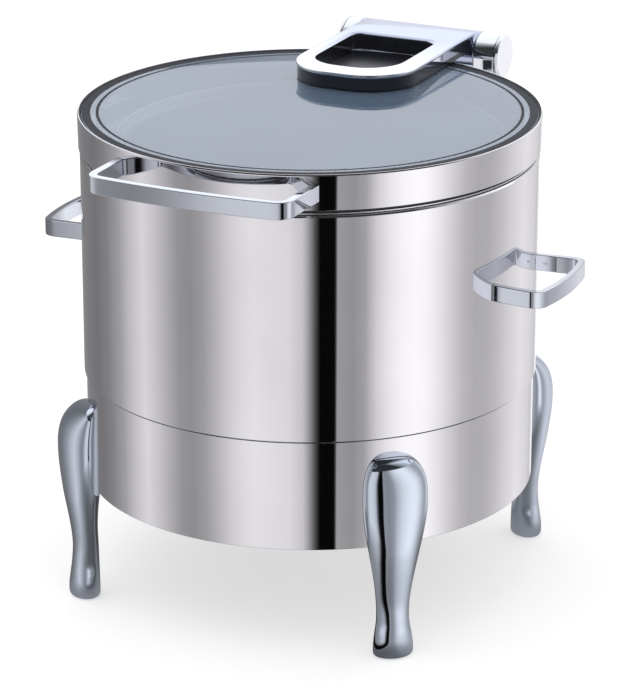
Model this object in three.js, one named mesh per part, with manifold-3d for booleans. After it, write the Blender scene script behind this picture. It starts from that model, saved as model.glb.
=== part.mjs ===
// Round soup chafer with a hinged glass lid, on a four-legged stand. Millimetres, +Z up, floor at z = 0.
// The lid handle faces -Y and the lid hinge is at +Y. Pieces are drawn round the pot's axis, and the last
// lines move the whole group so that the origin is on the floor under the middle of the footprint.
// The stand carries a burner cup on a crossbar. The chafer body lifts off it and holds a water pan,
// a support ring and a soup pot. The glass lid turns on a barrel hinge held by a bracket at the back.
import * as THREE from "three";
import { mergeVertices } from "three/addons/utils/BufferGeometryUtils.js";
import Module from "manifold-3d";

const wasm = await Module();
wasm.setup();

// ---- driving dimensions ----
const gap = 0.3; // clearance left between pieces that touch
const roundSegments = 48; // facets on the large turned pieces

const skirt = { radius: 187.3, wall: 1.5, bottom: 90, top: 181.5, ledgeInner: 171.5 };
const shell = { radius: 189.2, wall: 1.5, bottom: 183, top: 370.3, flange: 6, baseInner: 169.5 };
const pan = { radius: 168, wall: 1.2, bottom: 174, rimRadius: 187, rimTop: 372.1 };
const supportRing = { outer: 178.5, inner: 156.2, bottom: 372.4, thickness: 1.5 };
const pot = { radius: 155.2, wall: 1.2, bottom: 212, rimRadius: 161, rimBottom: 374.2, rimTop: 384 };
const lidRing = { top: 404, bottom: 375, topRadius: 190.8, bottomRadius: 190.3, seat: 398.3,
  seatInner: 176 };
const glass = { radius: 187.8, bottom: 399.7, top: 402.9 };

const hinge = { y: 234.6, z: 400.1, radius: 19.5, left: -59, right: 53.5, bore: 9, shaft: 6, bushFit: 6.07 };
const arm = { middle: -4.5, halfWidth: 54, front: 61, cornerRadius: 44, bottom: 404.4, frontTop: 418.2 };
const armWindow = { middle: -8.5, halfWidth: 38.5, front: 85.5, rear: 189, frontRadius: 32, rearRadius: 9 };
const ear = { left: -59.3, right: 53.8, outer: 72.4, bottom: 318, plateTop: 366, plateHalfWidth: 60.3 };
const clampScrews = { halfPitch: 48.5, front: 112, rear: 158, radius: 2.5 };

const leg = { angles: [45, 135, 225, 315], screwHeights: [118, 148], screwRadius: 3, footRadius: 200.2 };
const footPad = { radius: 10, recess: 3 };
const sideHandle = { root: 178, bar: 225, halfWidthRoot: 44, halfWidthBar: 47, bow: 3.5, thickness: 6,
  bottom: 277.5, height: 14, corner: 9 };
const lidHandle = { root: 160, bar: 222, halfWidthRoot: 85, halfWidthBar: 84.5, bow: 4, thickness: 7,
  bottom: 382, height: 14, corner: 11 };
const burner = { crossbar: 104, bar: 2.5, seatOuter: 58, seatInner: 44.5, radius: 43, wall: 1.2,
  bottom: 62 };
const snuffer = { radius: 48, bottom: 108.6, lift: 8.5, pivotY: 65 };

// ---- materials ----
const finish = (name, color, roughness, metalness) =>
  new THREE.MeshStandardMaterial({ name, color, roughness, metalness });
const polishedSteel = finish("polished_steel", 0xc9ccd2, 0.12, 1);
const satinSteel = finish("satin_steel", 0xb4b8bc, 0.32, 1);
const chrome = finish("chrome_casting", 0xd3d8de, 0.06, 1);
const screwSteel = finish("screw_steel", 0x9b9ea3, 0.35, 1);
const silicone = finish("black_silicone", 0x17181b, 0.6, 0);
const nylon = finish("nylon", 0xdedbd0, 0.5, 0);
const heatproof = finish("phenolic_knob", 0x1c1b1a, 0.4, 0);
const clearGlass = new THREE.MeshStandardMaterial({ name: "lid_glass", color: 0xaab6c2, roughness: 0.05,
  metalness: 0, transparent: true, opacity: 0.4 });

// ---- solids ----
function solid(geometry) {
  const bare = geometry.clone();
  bare.deleteAttribute("normal");
  bare.deleteAttribute("uv");
  const merged = mergeVertices(bare, 1e-4);
  return new wasm.Manifold(new wasm.Mesh({ numProp: 3, vertProperties: merged.attributes.position.array,
    triVerts: new Uint32Array(merged.index.array) }));
}

function geometryOf(manifold) {
  const mesh = manifold.getMesh();
  const positions = new THREE.BufferAttribute(new Float32Array(mesh.vertProperties), 3);
  const geometry = new THREE.BufferGeometry().setAttribute("position", positions);
  geometry.setIndex(new THREE.BufferAttribute(new Uint32Array(mesh.triVerts), 1));
  const faceted = geometry.toNonIndexed();
  faceted.computeVertexNormals();
  return faceted;
}

// A closed profile of [radius, height] points, anticlockwise, turned about +Z.
function turned(profile, segments = roundSegments) {
  const points = profile.map(([r, z]) => new THREE.Vector2(r, z));
  if (profile[0][0] > 0) points.push(points[0].clone());
  return new THREE.LatheGeometry(points, segments).rotateX(Math.PI / 2);
}

// A cylinder along X between two stations, centred on (y, z).
function rodAlongX(radius, from, to, y, z, segments = 24) {
  return new THREE.CylinderGeometry(radius, radius, to - from, segments)
    .rotateZ(-Math.PI / 2).translate((from + to) / 2, y, z);
}

// A cylinder along Z between two heights, centred on (x, y).
function rodAlongZ(radius, from, to, x, y, segments = 24) {
  return new THREE.CylinderGeometry(radius, radius, to - from, segments)
    .rotateX(Math.PI / 2).translate(x, y, (from + to) / 2);
}

// A plan outline extruded upward.
function slab(shape, bottom, top, curveSegments = 8) {
  return new THREE.ExtrudeGeometry(shape, { depth: top - bottom, bevelEnabled: false, curveSegments })
    .translate(0, 0, bottom);
}

// A shape drawn in (y, z) and extruded along X.
function sideProfile(shape, from, to, curveSegments = 8) {
  const toSide = new THREE.Matrix4().makeBasis(new THREE.Vector3(0, 1, 0), new THREE.Vector3(0, 0, 1),
    new THREE.Vector3(1, 0, 0));
  return new THREE.ExtrudeGeometry(shape, { depth: to - from, bevelEnabled: false, curveSegments })
    .applyMatrix4(toSide).translate(from, 0, 0);
}

const polygon = (points) => new THREE.Shape(points.map(([a, b]) => new THREE.Vector2(a, b)));

// A rounded rectangle symmetrical about x = 0, with its own radius at the front and at the back.
function roundedPlan(halfWidth, front, rear, frontRadius, rearRadius) {
  const shape = new THREE.Shape();
  const corner = (x, y, radius, start) => {
    if (radius > 0) shape.absarc(x, y, radius, start, start + Math.PI / 2);
    else shape.lineTo(x, y);
  };
  shape.moveTo(-halfWidth + frontRadius, front);
  corner(halfWidth - frontRadius, front + frontRadius, frontRadius, -Math.PI / 2);
  corner(halfWidth - rearRadius, rear - rearRadius, rearRadius, 0);
  corner(-halfWidth + rearRadius, rear - rearRadius, rearRadius, Math.PI / 2);
  corner(-halfWidth + frontRadius, front + frontRadius, frontRadius, Math.PI);
  return shape;
}

// A raised-head screw along +X: head behind x = 0, shank in front of it.
function screw(headRadius, headHeight, shankRadius, length, segments = 8) {
  const profile = [[0, -headHeight], [headRadius * 0.7, -headHeight], [headRadius, 0], [shankRadius, 0],
    [shankRadius, length], [0, length]];
  return turned(profile, segments).rotateY(Math.PI / 2);
}

// ---- assembly ----
const chafer = new THREE.Group();
const place = (name, geometry, material) => {
  const mesh = new THREE.Mesh(geometry, material);
  mesh.name = name;
  chafer.add(mesh);
  return mesh;
};
const sideName = (sign) => (sign < 0 ? "left" : "right");
const radians = THREE.MathUtils.degToRad;
const cornerName = { 45: "rear_right", 135: "rear_left", 225: "front_left", 315: "front_right" };

// ---- stand skirt: rolled sheet band, hemmed at the foot ----
const skirtInner = skirt.radius - skirt.wall;
const hemInner = skirtInner - 3;
let skirtSolid = solid(turned([[hemInner, skirt.bottom], [skirt.radius, skirt.bottom],
  [skirt.radius, skirt.top], [skirtInner, skirt.top], [skirtInner, skirt.bottom + skirt.wall],
  [hemInner, skirt.bottom + skirt.wall]]));
for (const angle of leg.angles)
  for (const height of leg.screwHeights) {
    const hole = rodAlongX(leg.screwRadius + gap, 178, 192, 0, height, 10).rotateZ(radians(angle));
    skirtSolid = skirtSolid.subtract(solid(hole));
  }
// The crossbar's screws end in blind holes, so that nothing shows on the polished face.
const crossbarScrew = { height: 112, radius: 2, length: 4.3 };
const blindHoleEnd = skirt.radius - 0.5;
for (const turn of [0, Math.PI]) {
  const hole = rodAlongX(crossbarScrew.radius + gap, 180, blindHoleEnd, 0, crossbarScrew.height, 10);
  skirtSolid = skirtSolid.subtract(solid(hole.rotateZ(turn)));
}
place("stand_skirt", geometryOf(skirtSolid), polishedSteel);

// Flat ring with its outer edge at one radius and its inner edge at another.
const flatRing = (inner, outer, bottom, top) =>
  turned([[inner, bottom], [outer, bottom], [outer, top], [inner, top]]);

// Ledge welded inside the top of the skirt, and the heat-proof ring on it that the chafer body rests on.
const ledge = flatRing(skirt.ledgeInner, skirtInner - gap, skirt.top - skirt.wall, skirt.top);
place("stand_ledge", ledge, satinSteel);
place("seat_gasket", flatRing(172.5, 183.5, skirt.top + gap, shell.bottom - gap), silicone);

// ---- cast legs: oval section that swells over the skirt, thins to an ankle and flares into a foot ----
// Stations from the foot up: height, width, inner radius, outer radius.
const legStations = [[1, 31.5, 188.2, 212], [4, 33.6, 187.7, 213.1], [11, 33.2, 187.7, 213],
  [20, 30.6, 187.8, 211.8], [31, 27.5, 188, 210.4], [46, 28, 188.4, 209.4], [62, 32, 189, 210.8],
  [78, 37.5, 188.4, 213.4], [93, 43.5, 187, 216], [110, 49.8, 187, 218], [126, 53.8, 187, 219.2],
  [142, 54.2, 187, 218.8], [155, 50.5, 187, 215], [164.5, 40, 187, 207.5], [170.6, 16, 187, 196]];
const legRings = legStations.length - 1;
const legFacets = 16;

function legGeometry() {
  const sizes = new THREE.SplineCurve(legStations.map(([z, width]) => new THREE.Vector2(z, width)));
  const radii = new THREE.SplineCurve(legStations.map((row) => new THREE.Vector2(row[2], row[3])));
  const geometry = new THREE.CylinderGeometry(1, 1, 1, legFacets, legRings);
  const position = geometry.attributes.position;
  for (let i = 0; i < position.count; i += 1) {
    const t = position.getY(i) + 0.5;
    const size = sizes.getPoint(t);
    const radius = radii.getPoint(t);
    const across = (size.y / 2) * position.getX(i);
    const middle = (radius.x + radius.y) / 2;
    const outward = middle + ((radius.y - radius.x) / 2) * position.getZ(i);
    const skirtFace = Math.sqrt((skirt.radius + gap) ** 2 - across ** 2);
    position.setXYZ(i, Math.max(outward, skirtFace), across, size.x);
  }
  return geometry;
}

const legScrewStart = skirtInner - 1;
const legHoleEnd = 203;
for (const angle of leg.angles) {
  let legSolid = solid(legGeometry());
  const turn = (geometry) => geometry.rotateZ(radians(angle));
  for (const height of leg.screwHeights)
    legSolid = legSolid.subtract(solid(rodAlongX(leg.screwRadius + gap, 180, legHoleEnd, 0, height, 10)));
  const padRecess = rodAlongZ(footPad.radius + gap, 0, footPad.recess, leg.footRadius, 0, 16);
  legSolid = legSolid.subtract(solid(padRecess));
  place(`leg_${cornerName[angle]}`, turn(geometryOf(legSolid)), chrome);
  place(`foot_pad_${cornerName[angle]}`, turn(rodAlongZ(footPad.radius, 0, footPad.recess - gap,
    leg.footRadius, 0, 16)), silicone);
  leg.screwHeights.forEach((height, i) => {
    const bolt = screw(6, 4, leg.screwRadius, 18).translate(legScrewStart, 0, height);
    place(`leg_screw_${cornerName[angle]}_${i + 1}`, turn(bolt), screwSteel);
  });
}

// ---- crossbar: flat strip with a ring seat for the burner cup and an upturned tab at each end ----
const barHalfWidth = 15;
const barEnd = 184.4;
const tabSize = { thickness: 2, height: 16 };
const barTop = burner.crossbar + burner.bar;
const strip = polygon([[-barEnd, -barHalfWidth], [barEnd, -barHalfWidth], [barEnd, barHalfWidth],
  [-barEnd, barHalfWidth]]);
let crossbar = solid(slab(strip, burner.crossbar, barTop))
  .add(solid(rodAlongZ(burner.seatOuter, burner.crossbar, barTop, 0, 0, 32)))
  .subtract(solid(rodAlongZ(burner.seatInner, burner.crossbar - 5, barTop + 5, 0, 0, 32)));
for (const sign of [-1, 1]) {
  const tab = new THREE.BoxGeometry(tabSize.thickness, 2 * barHalfWidth, tabSize.height)
    .translate(sign * (barEnd - tabSize.thickness / 2), 0, burner.crossbar + tabSize.height / 2);
  const hole = rodAlongX(crossbarScrew.radius + gap, sign * barEnd - 5, sign * barEnd + 5, 0,
    crossbarScrew.height, 10);
  crossbar = crossbar.add(solid(tab)).subtract(solid(hole));
}
place("burner_crossbar", geometryOf(crossbar), satinSteel);
for (const sign of [-1, 1]) {
  const bolt = screw(4, 2.5, crossbarScrew.radius, crossbarScrew.length)
    .translate(barEnd - tabSize.thickness - gap, 0, crossbarScrew.height);
  place(`crossbar_screw_${sideName(sign)}`, bolt.rotateZ(sign < 0 ? Math.PI : 0), screwSteel);
}

// ---- burner cup: holds the fuel can, hangs in the crossbar's ring by its flange ----
const cupRim = barTop + gap;
const cupInner = burner.radius - burner.wall;
const pivotRadius = 3;
const pivotFit = 3.1;
const cupFlange = { radius: 52, thickness: 1.5 };
const cupTop = cupRim + cupFlange.thickness;
let cup = solid(turned([[0, burner.bottom], [burner.radius, burner.bottom], [burner.radius, cupRim],
  [cupFlange.radius, cupRim], [cupFlange.radius, cupTop], [cupInner, cupTop],
  [cupInner, burner.bottom + burner.wall], [0, burner.bottom + burner.wall]], 32));
// Tongue with a round end at the pivot, reaching in to the cup.
function tongue(halfWidth) {
  const outline = new THREE.Shape();
  outline.moveTo(-halfWidth, 44);
  outline.lineTo(halfWidth, 44);
  outline.lineTo(halfWidth, snuffer.pivotY);
  outline.absarc(0, snuffer.pivotY, halfWidth, 0, Math.PI);
  return outline;
}
cup = cup.add(solid(slab(tongue(8), cupRim, cupTop))
    .subtract(solid(rodAlongZ(50, cupRim - 1, cupRim + 3, 0, 0, 32))))
  .subtract(solid(rodAlongZ(pivotRadius + gap, cupRim - 2, cupRim + 5, 0, snuffer.pivotY, 16)));
place("burner_cup", geometryOf(cup), satinSteel);

// Rivet that the snuffer lid turns on.
const lugTop = snuffer.bottom + 1.5;
const pinProfile = [[0, cupRim - 2.6], [5, cupRim - 2.6], [5, cupRim - gap], [pivotRadius, cupRim - gap],
  [pivotRadius, lugTop + gap], [5, lugTop + gap], [5, lugTop + 2.4], [0, lugTop + 2.4]];
place("snuffer_pin", turned(pinProfile, 16).translate(0, snuffer.pivotY, 0), screwSteel);

// Snuffer: shallow dished cover that closes the cup or swings aside to bare the flame.
const coverTop = snuffer.bottom + snuffer.lift;
const coverInner = snuffer.radius - 1.2;
let cover = solid(turned([[coverInner, snuffer.bottom], [snuffer.radius, snuffer.bottom],
  [snuffer.radius, coverTop - 4], [40, coverTop], [0, coverTop], [0, coverTop - 1.2], [39.6, coverTop - 1.2],
  [coverInner, coverTop - 4.6]], 32));
cover = cover.add(solid(slab(tongue(9), snuffer.bottom, lugTop))
    .subtract(solid(rodAlongZ(coverInner + 0.6, 100, 122, 0, 0, 32))))
  .subtract(solid(rodAlongZ(pivotFit, 100, 122, 0, snuffer.pivotY, 16)))
  .subtract(solid(rodAlongZ(2.3, 105, 125, 0, 0, 10)));
place("snuffer_lid", geometryOf(cover), satinSteel);
const knobProfile = [[0, coverTop - 3], [2, coverTop - 3], [2, coverTop + gap], [8, coverTop + gap],
  [7, coverTop + 5], [11, coverTop + 11], [9, coverTop + 15], [0, coverTop + 16]];
place("snuffer_knob", turned(knobProfile, 20), heatproof);

// ---- outer shell: tall polished casing, turned in at the top ----
const shellInner = shell.radius - shell.wall;
const flangeInner = shellInner - shell.flange;
const shellProfile = [[shellInner, shell.bottom], [shell.radius, shell.bottom],
  [shell.radius, shell.top - 2], [shell.radius - 1.5, shell.top], [flangeInner, shell.top],
  [flangeInner, shell.top - shell.wall], [shellInner, shell.top - shell.wall]];
const handleScrewRadius = 2;
const sideScrewZ = sideHandle.bottom + sideHandle.height / 2;
let shellSolid = solid(turned(shellProfile));
for (const turn of [0, Math.PI])
  for (const end of [-1, 1]) {
    const y = end * sideHandle.halfWidthRoot;
    const hole = rodAlongX(handleScrewRadius + gap, 174, 194, y, sideScrewZ, 10).rotateZ(turn);
    shellSolid = shellSolid.subtract(solid(hole));
  }
const bracketScrews = [[-34, 342], [34, 342]];
const alongY = (geometry) => geometry.rotateZ(Math.PI / 2);
for (const [x, z] of bracketScrews)
  shellSolid = shellSolid.subtract(solid(alongY(rodAlongX(2.8, 172, 192, -x, z, 10))));
place("outer_shell", geometryOf(shellSolid), polishedSteel);

// Base ring that closes the foot of the shell and rests on the stand's ledge.
const base = flatRing(shell.baseInner, shellInner - gap, shell.bottom, shell.bottom + shell.wall);
place("base_ring", base, satinSteel);

// ---- water pan: deep pan that hangs in the shell by its rim; its foot drops inside the ledge ----
const panInner = pan.radius - pan.wall;
const panRimBottom = shell.top + gap;
place("water_pan", turned([[0, pan.bottom], [pan.radius - 8, pan.bottom], [pan.radius, pan.bottom + 8],
  [pan.radius, panRimBottom], [pan.rimRadius, panRimBottom], [pan.rimRadius, pan.rimTop],
  [panInner, pan.rimTop], [panInner, pan.bottom + 8.5], [pan.radius - 8.5, pan.bottom + pan.wall],
  [0, pan.bottom + pan.wall]]), satinSteel);

// Support ring: flat adaptor on the pan's rim, with the hole that the pot drops into.
const ringTop = supportRing.bottom + supportRing.thickness;
const adaptor = flatRing(supportRing.inner, supportRing.outer, supportRing.bottom, ringTop);
place("pot_support_ring", adaptor, satinSteel);

// ---- soup pot: straight-sided insert with a stepped, rolled rim ----
const potInner = pot.radius - pot.wall;
place("soup_pot", turned([[0, pot.bottom], [pot.radius - 10, pot.bottom], [pot.radius, pot.bottom + 10],
  [pot.radius, pot.rimBottom], [pot.rimRadius - 1, pot.rimBottom], [pot.rimRadius - 1, pot.rimTop - 5],
  [pot.rimRadius + 1, pot.rimTop - 2.5], [pot.rimRadius - 1.5, pot.rimTop],
  [pot.rimRadius - 4, pot.rimTop - 2.5], [pot.rimRadius - 2.2, pot.rimTop - 5.5],
  [pot.rimRadius - 2.2, pot.rimBottom + pot.wall], [potInner, pot.rimBottom + pot.wall],
  [potInner, pot.bottom + 10.5], [pot.radius - 10.5, pot.bottom + pot.wall],
  [0, pot.bottom + pot.wall]]), satinSteel);

// ---- strap handles: flat bar bent to a U, its ends hollowed to sit on the round wall ----
function strapHandle(h) {
  const line = new THREE.Path();
  line.moveTo(h.root, -h.halfWidthRoot);
  line.lineTo(h.bar - h.corner, -h.halfWidthBar);
  line.quadraticCurveTo(h.bar, -h.halfWidthBar, h.bar + 1, -h.halfWidthBar + h.corner);
  line.quadraticCurveTo(h.bar + 1 + 2 * h.bow, 0, h.bar + 1, h.halfWidthBar - h.corner);
  line.quadraticCurveTo(h.bar, h.halfWidthBar, h.bar - h.corner, h.halfWidthBar);
  line.lineTo(h.root, h.halfWidthRoot);
  const points = line.getPoints(8).filter((p, i, all) => i === 0 || p.distanceTo(all[i - 1]) > 0.01);
  const edge = (side) => points.map((p, i) => {
    const before = points[Math.max(i - 1, 0)];
    const after = points[Math.min(i + 1, points.length - 1)];
    const along = after.clone().sub(before).normalize();
    const reach = (side * h.thickness) / 2;
    return new THREE.Vector2(p.x + along.y * reach, p.y - along.x * reach);
  });
  const outline = new THREE.Shape([...edge(1), ...edge(-1).reverse()]);
  return slab(outline, h.bottom, h.bottom + h.height);
}

const wallCut = (radius) => solid(rodAlongZ(radius, 250, 420, 0, 0, 96));
const shellWall = wallCut(shell.radius + gap);
for (const side of [-1, 1]) {
  let handle = solid(strapHandle(sideHandle)).subtract(shellWall);
  for (const end of [-1, 1]) {
    const y = end * sideHandle.halfWidthRoot;
    handle = handle.subtract(solid(rodAlongX(handleScrewRadius + gap, 170, 197, y, sideScrewZ, 10)));
    // The left handle is the right one turned half round, so its front screw starts out at the rear.
    const bolt = screw(4.5, 3, handleScrewRadius, 15).translate(180.6, side * y, sideScrewZ);
    const name = `${sideName(side)}_handle_screw_${end < 0 ? "front" : "rear"}`;
    place(name, bolt.rotateZ(side < 0 ? Math.PI : 0), screwSteel);
  }
  const turnedHandle = geometryOf(handle);
  if (side < 0) turnedHandle.rotateZ(Math.PI);
  place(`${sideName(side)}_handle`, turnedHandle, chrome);
}

// ---- hinge bracket: saddle plate on the back of the shell with an ear up to each end of the barrel ----
const earShape = new THREE.Shape();
earShape.moveTo(hinge.y - hinge.radius, hinge.z);
earShape.lineTo(hinge.y - hinge.radius, 388);
earShape.quadraticCurveTo(213, 374, 196, 371);
earShape.lineTo(168, 368);
earShape.lineTo(168, ear.bottom);
earShape.lineTo(192, ear.bottom);
earShape.lineTo(201, 334);
earShape.quadraticCurveTo(212, 360, 236, 374);
earShape.quadraticCurveTo(hinge.y + hinge.radius, 386, hinge.y + hinge.radius, hinge.z);
earShape.absarc(hinge.y, hinge.z, hinge.radius, 0, Math.PI);
const plateShape = polygon([[178, ear.bottom], [192, ear.bottom], [196, ear.bottom + 5],
  [196, ear.plateTop - 4], [193, ear.plateTop], [178, ear.plateTop]]);
let bracket = solid(sideProfile(plateShape, -ear.plateHalfWidth, ear.plateHalfWidth));
for (const [from, to] of [[-ear.outer, ear.left], [ear.right, ear.outer]])
  bracket = bracket.add(solid(sideProfile(earShape, from, to, 12)));
bracket = bracket.subtract(shellWall)
  .subtract(solid(rodAlongX(hinge.shaft + gap, -80, 80, hinge.y, hinge.z, 16)));
for (const [x, z] of bracketScrews)
  bracket = bracket.subtract(solid(alongY(rodAlongX(2.8, 170, 194, -x, z, 10))));
place("hinge_bracket", geometryOf(bracket), chrome);
bracketScrews.forEach(([x, z], i) =>
  place(`bracket_screw_${i + 1}`, alongY(screw(5, 3, 2.5, 12).translate(180.8, -x, z)), screwSteel));

// Chamfered covers on the outer faces of the two ears.
const capStart = ear.outer + gap;
const capProfile = [[0, capStart], [hinge.radius, capStart], [hinge.radius, capStart + 1.4],
  [hinge.radius - 1.6, capStart + 3], [0, capStart + 3]];
for (const side of [-1, 1]) {
  const cap = turned(capProfile, 32).rotateY((side * Math.PI) / 2).translate(0, hinge.y, hinge.z);
  place(`hinge_cap_${sideName(side)}`, cap, chrome);
}
const shaftEnd = ear.outer - gap;
place("hinge_shaft", rodAlongX(hinge.shaft, -shaftEnd, shaftEnd, hinge.y, hinge.z, 32), screwSteel);

// ---- lid ring: spun band, slightly wider at the top, with a lip round the glass and a seat under it ----
const lip = lidRing.topRadius - 1.4;
const lidProfile = [[lidRing.bottomRadius - 1.6, lidRing.bottom], [lidRing.bottomRadius, lidRing.bottom],
  [lidRing.topRadius, lidRing.top - 1.4], [lidRing.topRadius - 0.6, lidRing.top], [lip, lidRing.top],
  [lip, lidRing.seat], [lidRing.seatInner, lidRing.seat], [lidRing.seatInner, lidRing.seat - 1.5],
  [lip - 1.2, lidRing.seat - 1.5]];
const lidScrewZ = lidHandle.bottom + lidHandle.height / 2;
let lidSolid = solid(turned(lidProfile));
for (const side of [-1, 1])
  lidSolid = lidSolid.subtract(solid(alongY(rodAlongX(handleScrewRadius + gap, -185, -155,
    -side * lidHandle.halfWidthRoot, lidScrewZ, 10))));
place("lid_ring", geometryOf(lidSolid), polishedSteel);

// Silicone bed between the seat and the glass, turned up round the glass edge.
place("glass_gasket", turned([[181, lidRing.seat + gap], [lip - gap, lidRing.seat + gap],
  [lip - gap, glass.top], [glass.radius + gap, glass.top], [glass.radius + gap, glass.bottom - gap],
  [181, glass.bottom - gap]]), silicone);

// Seal that closes the joint between the lid and the pan rim.
place("lid_seal", turned([[184, pan.rimTop + gap], [186.6, pan.rimTop + gap], [188.3, lidRing.bottom + 1.5],
  [188.3, lidRing.bottom + 4], [184, lidRing.bottom + 4]]), silicone);

// ---- tempered glass, drilled for the hinge arm's screws ----
const armHoles = [];
for (const x of [arm.middle - clampScrews.halfPitch, arm.middle + clampScrews.halfPitch])
  for (const y of [clampScrews.front, clampScrews.rear]) armHoles.push([x, y]);
const drilled = (piece, radius) => armHoles.reduce((left, [x, y]) =>
  left.subtract(solid(rodAlongZ(radius, 390, 409.5, x, y, 10))), piece);
const glassEdge = 0.6;
const glassBlank = turned([[0, glass.bottom], [glass.radius - glassEdge, glass.bottom],
  [glass.radius, glass.bottom + glassEdge], [glass.radius, glass.top - glassEdge],
  [glass.radius - glassEdge, glass.top], [0, glass.top]]);
place("lid_glass", geometryOf(drilled(solid(glassBlank), 3)), clearGlass);

// ---- hinge arm: cast block with a window, one piece with the barrel that turns on the shaft ----
const armPlan = roundedPlan(arm.halfWidth, arm.front, hinge.y, arm.cornerRadius, 0);
const barrelTop = hinge.z + hinge.radius;
const wedge = polygon([[arm.front, arm.bottom], [hinge.y, arm.bottom], [hinge.y, barrelTop],
  [arm.front + 5, arm.frontTop], [arm.front + 1.5, arm.frontTop - 1], [arm.front, arm.frontTop - 3]]);
let armSolid = solid(slab(armPlan, arm.bottom, barrelTop + 1, 10))
  .intersect(solid(sideProfile(wedge, -arm.halfWidth - 1, arm.halfWidth + 1)))
  .translate([arm.middle, 0, 0]);
const windowPlan = roundedPlan(armWindow.halfWidth, armWindow.front, armWindow.rear, armWindow.frontRadius,
  armWindow.rearRadius);
armSolid = armSolid.subtract(solid(slab(windowPlan, arm.bottom - 5, barrelTop + 5, 6))
  .translate([armWindow.middle, 0, 0]));
armSolid = armSolid.add(solid(rodAlongX(hinge.radius, hinge.left, hinge.right, hinge.y, hinge.z, 40)))
  .subtract(solid(rodAlongX(hinge.bore, -80, 80, hinge.y, hinge.z, 20)));
place("hinge_arm", geometryOf(drilled(armSolid, clampScrews.radius + gap)), chrome);

// Black pad between the arm and the glass; it also shows as the floor of the window.
const padInset = 1.2;
const padPlan = roundedPlan(arm.halfWidth - padInset, arm.front + padInset, 190,
  arm.cornerRadius - padInset, 0);
const pad = solid(slab(padPlan, glass.top + gap, arm.bottom - gap, 8).translate(arm.middle, 0, 0))
  .intersect(solid(rodAlongZ(lip - 2, 400, 410, 0, 0, 64)));
place("arm_pad", geometryOf(drilled(pad, 3)), silicone);

// Clamp plate under the glass, pulled up to the arm by four screws.
const clampTop = glass.bottom - gap;
const clampBottom = clampTop - 3;
const clampPlan = roundedPlan(58, 98, 164, 12, 12);
const clampBlank = slab(clampPlan, clampBottom, clampTop, 4).translate(arm.middle, 0, 0);
place("clamp_plate", geometryOf(drilled(solid(clampBlank), 2.8)), satinSteel);
armHoles.forEach(([x, y], i) =>
  place(`clamp_screw_${i + 1}`, screw(4.5, 3, clampScrews.radius, 12.5).rotateY(-Math.PI / 2)
    .translate(x, y, clampBottom - gap), screwSteel));

// ---- inside the barrel: bushes, and the coil spring that takes some of the lid's weight ----
const sleeve = (outer, inner, from, to, segments) =>
  turned([[inner, from], [outer, from], [outer, to], [inner, to]], segments)
    .rotateY(Math.PI / 2).translate(0, hinge.y, hinge.z);
const boreFit = hinge.bore - gap;
const bushLength = 9;
const bushInset = 0.5;
for (const [side, start] of [[-1, hinge.left + bushInset], [1, hinge.right - bushInset - bushLength]]) {
  const bush = sleeve(boreFit, hinge.bushFit, start, start + bushLength, 32);
  place(`hinge_bush_${sideName(side)}`, bush, nylon);
}

class Coil extends THREE.Curve {
  getPoint(t, target = new THREE.Vector3()) {
    const turn = t * springTurns * Math.PI * 2;
    return target.set(springStart + t * springLength, hinge.y + springRadius * Math.cos(turn),
      hinge.z + springRadius * Math.sin(turn));
  }
}
const springTurns = 8;
const springStart = -40;
const springLength = 80;
const springRadius = 7.55;
const wire = new THREE.Shape().absarc(0, 0, 0.95, 0, Math.PI * 2);
place("lid_spring", new THREE.ExtrudeGeometry(wire, { steps: springTurns * 8, extrudePath: new Coil(),
  curveSegments: 3, bevelEnabled: false }), screwSteel);

// ---- lid handle: long strap across the front of the lid ring ----
const toFront = (geometry) => geometry.rotateZ(-Math.PI / 2);
let frontHandle = solid(strapHandle(lidHandle)).subtract(wallCut(lidRing.topRadius + gap));
for (const side of [-1, 1]) {
  const y = side * lidHandle.halfWidthRoot;
  frontHandle = frontHandle.subtract(solid(rodAlongX(handleScrewRadius + gap, 150, 184, y, lidScrewZ, 10)));
  const bolt = screw(4.5, 3, handleScrewRadius, 18).translate(163, y, lidScrewZ);
  place(`lid_handle_screw_${sideName(side)}`, toFront(bolt), screwSteel);
}
place("lid_handle", toFront(geometryOf(frontHandle)), chrome);

// ---- the middle of the footprint, from the lid handle's front to the barrel's back, is the origin ----
const foremost = -(lidHandle.bar + 1 + lidHandle.bow + lidHandle.thickness / 2);
const rearmost = hinge.y + hinge.radius;
chafer.position.y = -(foremost + rearmost) / 2;

export default chafer;
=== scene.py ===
# Round soup chafer on a four-legged stand: polished steel body, glass lid on a rear barrel hinge,
# strap handles, and a burner cup under the body. Sizes are in millimetres until a mesh is made, and
# the camera and the studio light are placed in metres.
import bmesh
import bpy
from math import atan2, cos, hypot, pi, radians, sin, sqrt
from mathutils import Matrix, Vector


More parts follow.
